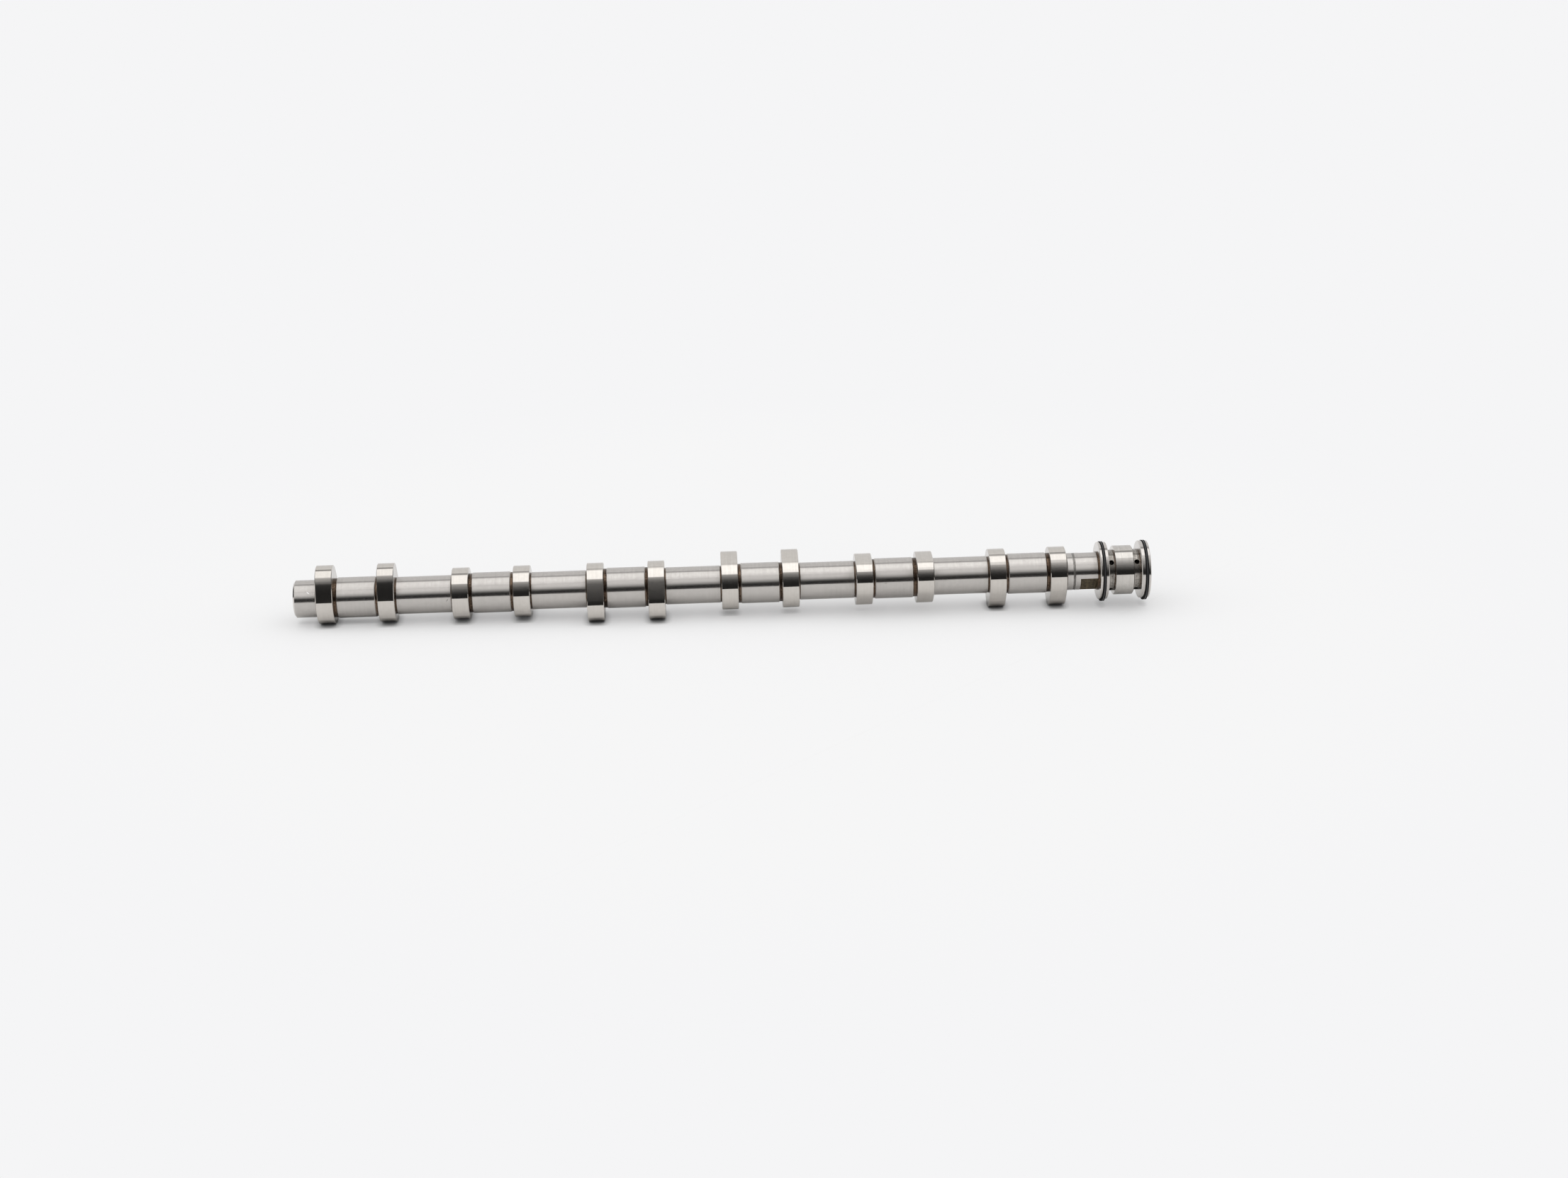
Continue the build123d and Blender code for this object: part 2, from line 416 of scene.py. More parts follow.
class Surface(Enum):
    """The surfaces of the camshaft, each with its own finish."""

    # Cylindrically ground case-hardened steel mirrors sharply round the shaft and blurs along it.
    # There is a bright nick on the rear stub, a dark scratch behind the second pair of lobes and a
    # faint stain on the fifth journal
    GROUND = Steel(
        "ground_steel",
        pale="c4c0bc",
        dark="bdb9b5",
        roughness=0.26,
        anisotropy=1.0,
        line_depth=0.00015,
        grain_depth=0.0008,
        marks=(
            Mark(x=-570.0, angle=52.1, radius=12.7, length=2.6, width=0.5, lean=-37.0, colour="ffffff"),
            Mark(x=-476.8, angle=90.3, radius=12.7, length=2.8, width=0.4, lean=55.0, colour="5c5a58"),
            Mark(x=-180.1, angle=84.3, radius=13.8, length=2.2, width=0.6, lean=20.0, colour="8f8b86"),
        ),
    )
    # Cam grinding leaves a finer finish, slightly warm in colour: the sharpest mirror on the shaft
    CAM = Steel("cam_steel", pale="cfcac4", dark="c8c3bd", roughness=0.12, anisotropy=0.9)
    # Lobe and journal sides are only turned: even and pale
    SIDE = Steel("turned_side", roughness=0.22, anisotropy=0.0)
    # Chamfers are cut with a fine feed, and mirror what lies beside the shaft
    EDGE = Steel("chamfer_steel", pale="dad6d2", dark="cfcac6", roughness=0.15, anisotropy=0.0)
    # The flanges' chamfers are broken by hand to a satin line and painted very pale: a painted highlight
    # for the bright lines the rims catch, pale from every side
    RIM = Steel("satin_rim_highlight", pale="efebe6", dark="e2deda", roughness=0.6, anisotropy=0.0)
    # Strips that no wheel reached keep the dark brown skin of hardening, worn to pale metal in specks.
    # Their darkness is partly painted shade of these recesses, and in the oil grooves' front corners it
    # is painted shade alone
    STRIP = Steel(
        "brown_skin_and_shade",
        pale="6f5d4e",
        dark="140f0d",
        spread=0.26,
        roughness=0.27,
        roughness_range=0.1,
        grain_width=0.8,
        grain_depth=0.02,
    )
    # The band on the neck is blasted to a matt mottled grey
    BAND = Steel(
        "matte_band", pale="a19e9a", dark="5a5753", roughness=0.45, grain_width=0.9, grain_depth=0.02
    )
    # Milled flats are olive brown from the same hardening
    FLAT = Steel(
        "milled_flat", pale="7d7057", dark="463d2e", roughness=0.4, grain_width=1.6, grain_depth=0.01
    )
    # Oil grooves keep a coarse turned finish, grey from oil
    GROOVE = Steel(
        "turned_groove",
        pale="aba6a0",
        dark="67625c",
        roughness=0.24,
        roughness_range=0.08,
        line_depth=0.003,
        grain_width=1.2,
        grain_depth=0.015,
    )
    # Flanges are turned finely, and their rims and faces blur what they mirror
    FLANGE = Steel("turned_flange", pale="cbc7c3", dark="c0bbb7", roughness=0.17, anisotropy=0.8)
    # The land is ground, with a slight grain in its dark reflection and a dark pit low on its rear half
    LAND = Steel(
        "ground_land",
        pale="cdc9c4",
        dark="bfbbb6",
        roughness=0.13,
        anisotropy=0.9,
        grain_depth=0.0015,
        marks=(Mark(x=-20.7, angle=136.0, radius=16.8, length=0.9, width=1.1, lean=0.0, colour="5f5b57"),),
    )
    # Drillings are painted a dark grey: painted shade, as they see little light
    BORE = Steel("drilled_bore", pale="6a655f", dark="4a4641", roughness=0.4, anisotropy=0.0)

    def number(self) -> int:
        """This surface's material slot."""
        return list(Surface).index(self)


@dataclass(frozen=True)
class SealPlastic:
    """Carbon-filled PTFE: near black and matte, with a smoother grey line where the ring runs.

    The ring's middle and the lengths are in millimetres along the shaft. The filler's grain is under
    0.1 mm, too fine to show, so it is drawn coarser than it is.
    """

    name: str
    middle: float
    worn_half: float = 0.3
    fresh_half: float = 0.5
    worn: str = "343435"
    fresh: str = "060606"
    grain_spread: float = 0.6
    worn_roughness: float = 0.35
    fresh_roughness: float = 0.95
    ior: float = 1.35
    grain_width: float = 0.4
    grain_depth: float = 0.01

    def material(self) -> Material:
        """Build the finish's material.

        Returns:
            The material.
        """
        made, tree = blank_material(self.name)
        coordinates = node(tree, "TexCoord").outputs["Object"]
        along = node(tree, "SeparateXYZ", {"Vector": coordinates}).outputs["X"]
        apart = distance_from(tree, along, self.middle * MM)
        limits = {"Value": apart, "From Min": self.worn_half * MM, "From Max": self.fresh_half * MM}
        unworn = node(tree, "MapRange", limits).outputs["Result"]
        ends = {"To Min": self.worn_roughness, "To Max": self.fresh_roughness}
        rough = node(tree, "MapRange", {**limits, **ends}).outputs["Result"]
        cells = {"Vector": coordinates, "Scale": 1 / (self.grain_width * MM), "Detail": NOISE_DETAIL}
        grain = node(tree, "TexNoise", cells).outputs["Fac"]
        half = self.grain_spread / 2
        shade = node(tree, "MapRange", {"Value": grain, "To Min": 1 - half, "To Max": 1 + half}).outputs[0]
        blend = {"Factor": unworn, "A": linear(self.worn), "B": linear(self.fresh)}
        plain = node(tree, "Mix", blend, data_type="RGBA").outputs["Result"]
        colour = node(tree, "VectorMath", {0: plain, "Scale": shade}, operation="SCALE").outputs[0]
        normal = node(tree, "Bump", {"Height": grain, "Distance": self.grain_depth * MM}).outputs["Normal"]
        shader = node(
            tree,
            "BsdfPrincipled",
            {"Base Color": colour, "Roughness": rough, "IOR": self.ior, "Normal": normal},
        )
        node(tree, "OutputMaterial", {"Surface": shader.outputs["BSDF"]})
        return made


# --- The camshaft ---


@dataclass(frozen=True)
class Stretch:
    """A round stretch of the shaft, with a 45 degree chamfer on one or both of its edges."""

    width: float
    diameter: float
    surface: Surface
    rear_edge: float = 0.0
    front_edge: float = 0.0


@dataclass
class Camshaft:
    """The shaft with its lobes, flats and drillings, as one smooth piece."""

    materials: dict[Surface, Material]

    cylinder_pitch: float = 91.0
    firing_order: tuple[int, ...] = (1, 5, 3, 6, 2, 4)

    base_circle_diameter: float = 35.0
    lobe_lift: float = 6.1
    nose_radius: float = 13.3
    flank_swell: float = 4.0
    lobe_width: float = 11.3
    lobe_edge: float = 0.3

    journal_diameter: float = 27.6
    journal_width: float = 26.2
    journal_relief_width: float = 1.9
    journal_relief_depth: float = 0.5

    shaft_diameter: float = 25.4
    shaft_relief_width: float = 0.7
    shaft_relief_depth: float = 0.35
    stub_length: float = 15.2
    stub_edge: float = 1.0
    neck_length: float = 20.8
    neck_band_offset: float = 4.1
    neck_band_width: float = 1.7
    neck_band_depth: float = 0.15

    flat_across: float = 20.3
    flat_length: float = 11.7
    flat_clocking: float = 122.0

    collar_diameter: float = 26.4
    collar_width: float = 1.0
    flange_diameter: float = 39.2
    flange_edge: float = 0.4
    rear_flange_width: float = 5.9
    front_flange_width: float = 6.3
    land_diameter: float = 33.6
    land_width: float = 12.8
    land_edge: float = 0.4
    oil_groove_diameter: float = 28.0
    oil_groove_width: float = 4.65
    # Width of the painted shade in each oil groove's front corner
    groove_shade_width: float = 0.35
    ring_groove_width: float = 2.2
    ring_groove_inset: float = 1.6
    ring_groove_floor: float = 35.8

    port_count: int = 4
    port_diameter: float = 3.5
    port_clocking: float = 39.0
    axial_port_circle: float = 21.0
    axial_port_mouth: float = 4.0
    bolt_bore_diameter: float = 14.0
    bolt_bore_mouth: float = 15.6
    bolt_bore_depth: float = 31.0
    thread_core_diameter: float = 10.2
    thread_mouth: float = 12.4
    thread_depth: float = 27.0
    drill_point_angle: float = 118.0
    drill_web: float = 0.2
    centre_hole_diameter: float = 3.15
    centre_hole_mouth: float = 6.7
    centre_hole_depth: float = 6.0
    centre_hole_angle: float = 60.0

    turned_facets: int = 256
    drilled_facets: int = 64
    arc_step: float = 1.5
    fewest_steps: int = 16
    spin_weld: float = 0.001
    cut_weld: float = 0.0001
    overshoot: float = 1.0
    sharp_angle: float = 25.0

    @property
    def base_radius(self) -> float:
        """Radius of the lobes' base circle."""
        return self.base_circle_diameter / 2

    @property
    def nose_offset(self) -> float:
        """Distance from the shaft's axis to the centre of a lobe's nose."""
        return self.base_radius + self.lobe_lift - self.nose_radius

    @property
    def lobe_offset(self) -> float:
        """Distance from a pair's centre to the near face of its lobes."""
        return self.journal_width / 2 + self.journal_relief_width

    @property
    def pair_half_width(self) -> float:
        """Distance from a pair's centre to the far face of its lobes."""
        return self.lobe_offset + self.lobe_width

    @property
    def front_port_x(self) -> float:
        """The middle of the front oil groove."""
        return -self.front_flange_width - self.oil_groove_width / 2

    @property
    def rear_port_x(self) -> float:
        """The middle of the rear oil groove."""
        return self.front_port_x - self.land_width - self.oil_groove_width

    @property
    def neck_end(self) -> float:
        """Where the neck meets the collar."""
        half_groove = self.oil_groove_width / 2
        return self.rear_port_x - half_groove - self.rear_flange_width - self.collar_width

    @property
    def pair_centres(self) -> list[float]:
        """Places of the lobe pairs along the shaft.

        Returns:
            The pairs' centres, from the rear.
        """
        front = self.neck_end - self.neck_length - self.shaft_relief_width - self.pair_half_width
        count = len(self.firing_order)
        return [front - (count - 1 - i) * self.cylinder_pitch for i in range(count)]

    @property
    def rear_end(self) -> float:
        """The rear end face."""
        return self.pair_centres[0] - self.pair_half_width - self.shaft_relief_width - self.stub_length

    @property
    def first_nose_angle(self) -> float:
        """Angle of the rear cylinder's noses, as the shaft lies on three of its lobes.

        Returns:
            The angle, at which the base circle of one lobe and the noses of two are level.
        """
        half_step = math.pi / len(self.firing_order)
        # The third cylinder stands this share of the way from the first to the last
        near = 2 / (len(self.firing_order) - 1)
        level = (1 - near) * (self.base_radius - self.nose_radius) / self.nose_offset
        along = (1 - near) * math.cos(half_step)
        across = (1 + near) * math.sin(half_step)
        roll = math.acos(level / math.hypot(along, across)) - math.atan2(across, along)
        return math.degrees(half_step - roll)

    def nose_angle(self, cylinder: int) -> float:
        """Angle of a cylinder's noses round the shaft, cylinder 1 being the rear one."""
        step = 360 / len(self.firing_order)
        return self.first_nose_angle + step * self.firing_order.index(cylinder)

    @property
    def port_angles(self) -> list[float]:
        """Angles of the oil ports round the shaft."""
        first = self.first_nose_angle + self.port_clocking
        return [first + i * 360 / self.port_count for i in range(self.port_count)]

    def stretches(self) -> list[Stretch]:
        """The turned body's round stretches, from the rear end to the front face.

        Returns:
            The stretches in order. The seat under each lobe changes its diameter half way along it.
        """
        outer = self.shaft_diameter - 2 * self.shaft_relief_depth
        inner = self.journal_diameter - 2 * self.journal_relief_depth
        fall, step, half_lobe = self.shaft_relief_depth, self.journal_relief_depth, self.lobe_width / 2
        gap = self.cylinder_pitch - 2 * self.pair_half_width - 2 * self.shaft_relief_width
        # The reliefs beside the lobes and journals are dark brown: skin of hardening and, partly, painted
        # shade of these narrow recesses
        outer_seat = Stretch(self.shaft_relief_width + half_lobe, outer, Surface.STRIP)
        inner_seat = Stretch(half_lobe + self.journal_relief_width, inner, Surface.STRIP)
        journal = Stretch(self.journal_width, self.journal_diameter, Surface.GROUND, step, step)
        shaft = Stretch(gap, self.shaft_diameter, Surface.GROUND, fall, fall)
        pair = [outer_seat, inner_seat, journal, inner_seat, outer_seat]
        neck_front = self.neck_length - self.neck_band_offset - self.neck_band_width
        band = self.shaft_diameter - 2 * self.neck_band_depth
        lip, edge, rim = self.ring_groove_inset, self.flange_edge, self.flange_diameter
        rear_lip = self.rear_flange_width - lip - self.ring_groove_width
        front_lip = self.front_flange_width - lip - self.ring_groove_width
        # Each oil groove's front corner, against the wall in front of it, is painted dark brown: painted
        # shade
        corner = Stretch(self.groove_shade_width, self.oil_groove_diameter, Surface.STRIP)
        unshaded_width = self.oil_groove_width - self.groove_shade_width
        floor = Stretch(unshaded_width, self.oil_groove_diameter, Surface.GROOVE)
        ring_groove = Stretch(self.ring_groove_width, self.ring_groove_floor, Surface.GROOVE)
        row = [Stretch(self.stub_length, self.shaft_diameter, Surface.GROUND, self.stub_edge, fall), *pair]
        for _ in self.firing_order[1:]:
            row += [shaft, *pair]
        return row + [
            Stretch(self.neck_band_offset, self.shaft_diameter, Surface.GROUND, fall),
            Stretch(self.neck_band_width, band, Surface.BAND),
            Stretch(neck_front, self.shaft_diameter, Surface.GROUND),
            Stretch(self.collar_width, self.collar_diameter, Surface.STRIP),
            Stretch(lip, rim, Surface.FLANGE, edge),
            ring_groove,
            Stretch(rear_lip, rim, Surface.FLANGE, 0.0, edge),
            floor,
            corner,
            Stretch(self.land_width, self.land_diameter, Surface.LAND, self.land_edge, self.land_edge),
            floor,
            corner,
            Stretch(front_lip, rim, Surface.FLANGE, edge),
            ring_groove,
            Stretch(lip, rim, Surface.FLANGE, 0.0, edge),
        ]

    def outline(self) -> list[Point]:
        """The turned body's outline, from the rear end to the front face.

        Returns:
            Places along the axis and radii. A chamfer that ends at its neighbour leaves no step.
        """
        points: list[Point] = []
        x = self.rear_end
        for stretch in self.stretches():
            radius, end = stretch.diameter / 2, x + stretch.width
            corners = (
                (x, radius - stretch.rear_edge),
                (x + stretch.rear_edge, radius),
                (end - stretch.front_edge, radius),
                (end, radius - stretch.front_edge),
            )
            for corner in corners:
                if not points or math.dist(corner, points[-1]) > SAME_PLACE:
                    points.append(corner)
            x = end
        return points

    def dress(self, piece: Piece, choose: Callable[[Face], Surface]) -> None:
        """Give a piece every finish, one to a slot, and each of its faces the one that fits.

        Args:
            piece: The piece.
            choose: Gives a face's surface.
        """
        piece.data.materials.clear()
        for surface in Surface:
            piece.data.materials.append(self.materials[surface])
        for face in piece.data.polygons:
            face.material_index = choose(face).number()

    def turned_body(self) -> Piece:
        """Turn the body and give each stretch its finish, and the chamfers theirs.

        Returns:
            The turned body.
        """
        body = turned("camshaft_body", self.outline(), self.turned_facets)
        ends, x = [], self.rear_end
        for stretch in self.stretches():
            x += stretch.width
            ends.append((x - SAME_PLACE, stretch.surface))

        def choose(face: Face) -> Surface:
            """Find the surface of one face of the body.

            Args:
                face: The face.

            Returns:
                Its stretch's surface, or that of a chamfer or a side.
            """
            lean = abs(face.normal.x)
            surface = next((s for end, s in ends if face.center.x / MM < end), Surface.FLANGE)
            if ROUND_LEAN < lean < SIDE_LEAN:
                return Surface.RIM if surface is Surface.FLANGE else Surface.EDGE
            return Surface.SIDE if lean >= SIDE_LEAN and surface is Surface.GROUND else surface

        self.dress(body, choose)
        return body

    def lobe(self) -> Piece:
        """Model one lobe with its nose up: a point is spun round the four centres of its outline.

        Returns:
            The lobe, from x = 0 to its width.
        """
        drop = self.base_radius - self.nose_radius
        half = math.acos(drop / self.nose_offset) + math.radians(self.flank_swell)
        # The flank's arc touches the base circle and the nose's arc, which gives its radius
        flank = self.nose_offset**2 - 2 * self.nose_offset * self.base_radius * math.cos(half)
        flank += drop * (self.base_radius + self.nose_radius)
        flank /= 2 * drop - 2 * self.nose_offset * math.cos(half)
        reach = flank - self.base_radius
        nose_half = math.atan2(reach * math.sin(half), self.nose_offset + reach * math.cos(half))
        side, down = reach * math.sin(half), -reach * math.cos(half)
        arcs = (
            ((0.0, self.nose_offset), 2 * nose_half),
            ((side, down), half - nose_half),
            ((0.0, 0.0), 2 * (math.pi - half)),
            ((-side, down), half - nose_half),
        )
        start_y = self.nose_radius * math.sin(nose_half)
        start_z = self.nose_offset + self.nose_radius * math.cos(nose_half)
        deselect()
        bpy.ops.mesh.primitive_plane_add(size=self.nose_radius * MM)
        lobe = bpy.context.object
        with editing(lobe):
            bpy.ops.mesh.select_all(action="SELECT")
            bpy.ops.mesh.merge(type="CENTER")
            bpy.ops.transform.translate(value=(0, start_y * MM, start_z * MM))
            for (y, z), turn in arcs:
                bpy.ops.mesh.spin(
                    steps=max(round(math.degrees(turn) / self.arc_step), self.fewest_steps),
                    angle=turn,
                    center=(0, y * MM, z * MM),
                    axis=(-1, 0, 0),
                )
            bpy.ops.mesh.select_all(action="SELECT")
            bpy.ops.mesh.remove_doubles(threshold=self.spin_weld * MM)
            bpy.ops.mesh.edge_face_add()
            move = {"value": (self.lobe_width * MM, 0, 0)}
            bpy.ops.mesh.extrude_region_move(TRANSFORM_OT_translate=move)
            bpy.ops.mesh.select_all(action="SELECT")
            bpy.ops.mesh.normals_make_consistent(inside=False)
        self.chamfer_rims(lobe)
        self.dress(lobe, self.lobe_surface)
        return lobe

    def chamfer_rims(self, lobe: Piece) -> None:
        """Chamfer the two rims of a lobe.

        Args:
            lobe: The lobe.
        """
        with editing(lobe):
            bpy.ops.mesh.select_mode(type="EDGE")
            bpy.ops.mesh.select_all(action="DESELECT")
            bpy.ops.object.mode_set(mode="OBJECT")
            points = lobe.data.vertices
            for edge in lobe.data.edges:
                first, last = (points[i].co.x for i in edge.vertices)
                edge.select = abs(first - last) < SAME_PLACE
            bpy.ops.object.mode_set(mode="EDIT")
            bpy.ops.mesh.bevel(offset=self.lobe_edge * MM, segments=1, affect="EDGES")

    def lobe_surface(self, face: Face) -> Surface:
        """The surface of one face of a lobe."""
        return Surface.SIDE if abs(face.normal.x) > SIDE_LEAN else Surface.CAM

    def lobes(self) -> Piece:
        """Set a copy of the lobe in each of its places, two to a cylinder.

        Returns:
            All the lobes as one object.
        """
        pattern = self.lobe()
        placed = []
        for number, centre in enumerate(self.pair_centres, start=1):
            for start in (centre - self.pair_half_width, centre + self.lobe_offset):
                lobe = copy_of(pattern)
                turn = Matrix.Rotation(math.radians(self.nose_angle(number)), 4, "X")
                lobe.matrix_world = Matrix.Translation((start * MM, 0, 0)) @ turn
                settle(lobe)
                placed.append(lobe)
        bpy.data.objects.remove(pattern)
        return join(placed)

    def bore_outline(self, diameter: float, mouth: float, depth: float, cone: float = 90.0) -> list[Point]:
        """Outline of a drilled hole that runs from x = 0 to -X, from its point to its mouth.

        Args:
            diameter: The hole's diameter.
            mouth: Diameter of its countersunk mouth.
            depth: Depth of its full diameter.
            cone: Angle of the countersink.

        Returns:
            Places along the axis and radii. The mouth's cone runs on past the face, because a ring in
            the face's own plane spoils the cut.
        """
        radius, wide = diameter / 2, mouth / 2
        slope = math.tan(math.radians(cone / 2))
        point = (radius - self.drill_web) / math.tan(math.radians(self.drill_point_angle / 2))
        return [
            (-depth - point, self.drill_web),
            (-depth, radius),
            ((radius - wide) / slope, radius),
            (self.overshoot, wide + self.overshoot * slope),
        ]

    def holes(self) -> Piece:
        """The drillings along the shaft: bolt bore with its thread's core, oil drillings, lathe centre.

        Returns:
            Their solids as one object.
        """
        core = self.bore_outline(self.thread_core_diameter, self.thread_mouth, self.thread_depth)
        bore = self.bore_outline(self.bolt_bore_diameter, self.bolt_bore_mouth, self.bolt_bore_depth)
        # The thread's core ends in the rim of its countersink, on the bore's floor
        behind = [(x - self.bolt_bore_depth, radius) for x, radius in core[:-1]]
        step = (-self.bolt_bore_depth, self.thread_mouth / 2)
        solids = [turned("bolt_bore", [*behind, step, *bore[1:]], self.drilled_facets)]
        axial_depth = self.port_diameter / 2 - self.front_port_x
        oil = self.bore_outline(self.port_diameter, self.axial_port_mouth, axial_depth)
        for angle in self.port_angles:
            drilling = turned("oil_drilling", oil, self.drilled_facets)
            drilling.location = outward(angle) * self.axial_port_circle / 2 * MM
            settle(drilling)
            solids.append(drilling)
        size = (self.centre_hole_diameter, self.centre_hole_mouth, self.centre_hole_depth)
        centre = self.bore_outline(*size, self.centre_hole_angle)
        rear = [(self.rear_end - x, radius) for x, radius in centre]
        solids.append(turned("lathe_centre", rear[::-1], self.drilled_facets))
        for solid in solids:
            self.dress(solid, lambda face: Surface.BORE)
        return join(solids)

    def ports(self) -> Piece:
        """The drillings across the shaft from the two oil grooves.

        Returns:
            Their solids as one object. They start inside the bolt bore and the axial drillings.
        """
        radius, top = self.port_diameter / 2, self.oil_groove_diameter / 2 + self.overshoot
        starts = ((self.rear_port_x, self.port_diameter), (self.front_port_x, self.axial_port_circle / 2))
        solids = []
        for x, start in starts:
            for angle in self.port_angles:
                port = turned("oil_port", [(start, radius), (top, radius)], self.drilled_facets)
                lay_radially(port, x, angle)
                self.dress(port, lambda face: Surface.BORE)
                solids.append(port)
        return join(solids)

    def flats(self) -> Piece:
        """The stock that the two wrench flats take off the neck.

        Returns:
            Two blocks as one object.
        """
        depth, length = self.flat_across / 2, self.flat_length
        # A block as thick as it is far from the axis has its middle half as far out again
        middle = 1.5 * depth
        blocks = []
        for turn in (0, 180):
            angle = self.first_nose_angle + self.flat_clocking + turn
            deselect()
            bpy.ops.mesh.primitive_cube_add(size=MM, scale=(length, self.shaft_diameter, depth))
            block = bpy.context.object
            centre = Vector(((self.neck_end - length / 2) * MM, 0, 0)) + outward(angle) * middle * MM
            roll = Matrix.Rotation(math.radians(angle), 4, "X")
            block.matrix_world = Matrix.Translation(centre) @ roll @ block.matrix_world
            settle(block)
            self.dress(block, lambda face: Surface.FLAT)
            blocks.append(block)
        return join(blocks)

    def build(self) -> Piece:
        """Build the whole shaft.

        Returns:
            The finished piece.
        """
        body = self.turned_body()
        work(body, self.lobes(), Cut.ADD)
        work(body, self.flats(), Cut.REMOVE)
        work(body, self.holes(), Cut.REMOVE)
        work(body, self.ports(), Cut.REMOVE)
        with editing(body):
            bpy.ops.mesh.select_all(action="SELECT")
            bpy.ops.mesh.remove_doubles(threshold=self.cut_weld * MM)
            bpy.ops.mesh.normals_make_consistent(inside=False)
        make_active(body)
        bpy.ops.object.shade_smooth_by_angle(angle=math.radians(self.sharp_angle))
        body.name = body.data.name = "camshaft_body"
        return body


# --- Studio ---


@dataclass
class Studio:
    """Pale floor, a long soft box overhead, a grey backdrop behind and a dark room in front."""

    background: str = "f5f5f6"
    floor_colour: str = "efefef"
    floor_size: float = 60000.0
    # Depth below the axis at x = 0, and fall along it. The shaft rests on three lobes, and its axis
    # is level here, so the floor slopes instead
    floor_drop: float = 24.883
    floor_slope: float = 0.013082
    # Steel mirrors the paper only up to its front edge. The camera sees it fade into the background
    paper_end: float = 360.0
    fade_start: float = 350.0
    fade_end: float = 560.0
    # A share of painted glow lightens the paper's shadows; the painted contact shadow reaches this far,
    # with this many rays
    paper_glow: float = 0.33
    contact_reach: float = 5.0
    contact_rays: int = 4

    focal_length: float = 58.6
    sensor_width: float = 36.0
    distance: float = 1741.0
    aim_x: float = -248.7
    aim_below: float = 5.0
    yaw: float = 1.81
    pitch: float = 20.45
    roll: float = 1.38
    view_reach: float = 100000.0

    # Radiance against elevation across the shaft, from in front over the top to behind. The first is
    # the middle of the room, where the dark camera stand is; the second is the room a little to its
    # right, where the lamp hangs askew; the third is the room at both sides
    middle: Row = (
        (-90.0, 0.015), (14.0, 0.02), (26.0, 0.025), (32.0, 0.04), (38.0, 0.08), (46.0, 0.19), (54.0, 0.32),
        (60.0, 0.5), (65.0, 1.75), (110.0, 1.75), (117.0, 0.95), (180.0, 0.8), (270.0, 0.8),
    )
    askew: Row = (
        (-90.0, 0.015), (16.0, 0.02), (28.0, 0.03), (38.0, 0.09), (48.0, 0.28), (58.0, 0.55), (66.0, 0.65),
        (74.0, 0.8), (79.0, 1.75), (110.0, 1.75), (117.0, 0.95), (180.0, 0.8), (270.0, 0.8),
    )
    sides: Row = (
        (-90.0, 0.02), (10.0, 0.03), (15.0, 0.1), (20.0, 0.32), (30.0, 1.4), (42.0, 2.3), (110.0, 2.2),
        (117.0, 0.95), (180.0, 0.8), (270.0, 0.8),
    )
    # Windows of azimuth beyond which the third and the second take over. The latter's middle is at
    # the far left, so that it ends on one side only
    stand: Window = (2.0, 9.0, 23.0)
    hanging: Window = (-90.0, 92.5, 100.0)
    # The paper sweep ends at both sides, and the room beyond it is dark
    sweep: Window = (0.0, 38.0, 60.0)
    room_share: float = 0.08
    # The lamp's dark rear frame shows only away from the middle
    lamp_back: Row = ((-90.0, 1.0), (107.0, 1.0), (110.0, 0.3), (119.0, 0.3), (122.0, 1.0), (270.0, 1.0))
    lamp_back_gap: Window = (1.5, 2.5, 5.5)
    # The lamp's elevations, and its brightness along the shaft as shares against azimuth
    lamp: Row = ((-90.0, 0.0), (58.0, 0.0), (66.0, 1.0), (108.0, 1.0), (116.0, 0.0), (270.0, 0.0))
    lamp_along: Row = (
        (-90.0, 0.3), (-30.0, 0.4), (-20.0, 0.5), (-10.0, 0.74), (-5.0, 0.9), (0.0, 1.0), (5.0, 0.97),
        (10.0, 0.86), (30.0, 0.8), (270.0, 0.8),
    )
    # Light that falls on matt things, mostly from above and in front
    fill: Row = (
        (-90.0, 0.5), (0.0, 0.42), (20.0, 0.71), (45.0, 1.18), (80.0, 1.37), (110.0, 1.13), (140.0, 0.75),
        (180.0, 0.42), (270.0, 0.3),
    )

    def camera(self) -> None:
        """Set up the camera from where its optical axis meets the shaft."""
        yaw, pitch, roll = (math.radians(a) for a in (self.yaw, self.pitch, self.roll))
        ahead = math.cos(yaw)
        forward = Vector((math.sin(yaw), ahead * math.cos(pitch), -ahead * math.sin(pitch))).normalized()
        level = forward.cross(Vector((0, 0, 1))).normalized()
        upright = level.cross(forward)
        right = level * math.cos(roll) - upright * math.sin(roll)
        up = upright * math.cos(roll) + level * math.sin(roll)
        aim = Vector((self.aim_x, 0, 0)) - up * self.aim_below
        place = Matrix((right, up, -forward)).transposed().to_4x4()
        place.translation = (aim - forward * self.distance) * MM
        deselect()
        bpy.ops.object.camera_add()
        camera = bpy.context.object
        camera.name = "camera"
        camera.data.sensor_width = self.sensor_width
        camera.data.lens = self.focal_length
        camera.data.clip_end = self.view_reach * MM
        camera.matrix_world = place
        bpy.context.scene.camera = camera

